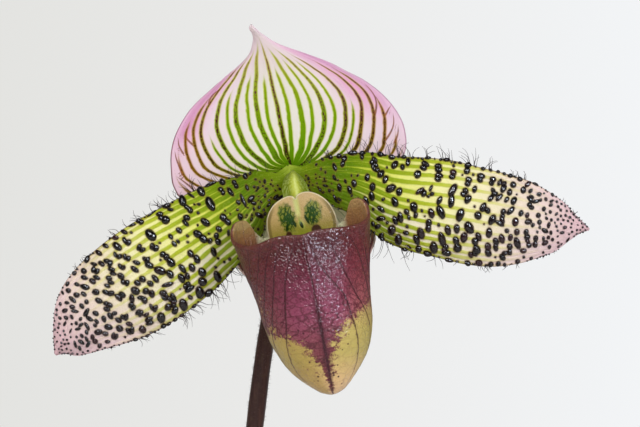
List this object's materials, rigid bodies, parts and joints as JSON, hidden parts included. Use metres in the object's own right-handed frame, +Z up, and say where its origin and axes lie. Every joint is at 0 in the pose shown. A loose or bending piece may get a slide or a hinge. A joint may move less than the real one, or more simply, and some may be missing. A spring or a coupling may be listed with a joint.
{
  "type": "potted slipper orchid",
  "caption": "Slipper orchid in bloom in a plain clay pot: striped hood, warty spread petals, pouched lip, hairy stem and mottled strap leaves; stands on its flat foot.",
  "frame": {"origin": "centre of the pot's foot, on the ground", "axes": "+Z up the stem, -Y the way the flower faces, +X to the right of someone who looks at the flower"},
  "size_m": [0.3253, 0.1653, 0.4079],
  "materials": {
    "clay": "matte",
    "mix": "matte",
    "bark": "matte",
    "leaf": "satin",
    "stem": "satin",
    "green_flesh": "satin",
    "hood": "satin",
    "petal": "satin",
    "pouch": "satin",
    "shield": "satin",
    "pollen": "satin"
  },
  "bodies": {
    "root": {"pot": "clay", "potting_mix": "mix", "bark_chip_01": "bark", "bark_chip_02": "bark", "bark_chip_03": "bark", "bark_chip_04": "bark", "bark_chip_05": "bark", "bark_chip_06": "bark", "bark_chip_07": "bark", "bark_chip_08": "bark", "bark_chip_09": "bark", "bark_chip_10": "bark", "bark_chip_11": "bark", "bark_chip_12": "bark", "bark_chip_13": "bark", "bark_chip_14": "bark", "bark_chip_15": "bark", "bark_chip_16": "bark", "bark_chip_17": "bark", "bark_chip_18": "bark", "growth_base": "green_flesh", "young_growth_base": "green_flesh", "leaf_1": "leaf", "leaf_2": "leaf", "leaf_3": "leaf", "leaf_4": "leaf", "leaf_5": "leaf", "leaf_6": "leaf", "young_leaf_1": "leaf", "young_leaf_2": "leaf", "young_leaf_3": "leaf", "flower_stem": "stem", "ovary": "green_flesh", "bract": "green_flesh", "dorsal_sepal": "hood", "synsepal": "hood", "petal_left": "petal", "petal_right": "petal", "pouch": "pouch", "column": "green_flesh", "staminode": "shield", "anther_left": "pollen", "anther_right": "pollen", "stigma": "green_flesh"}
  },
  "joints": []
}
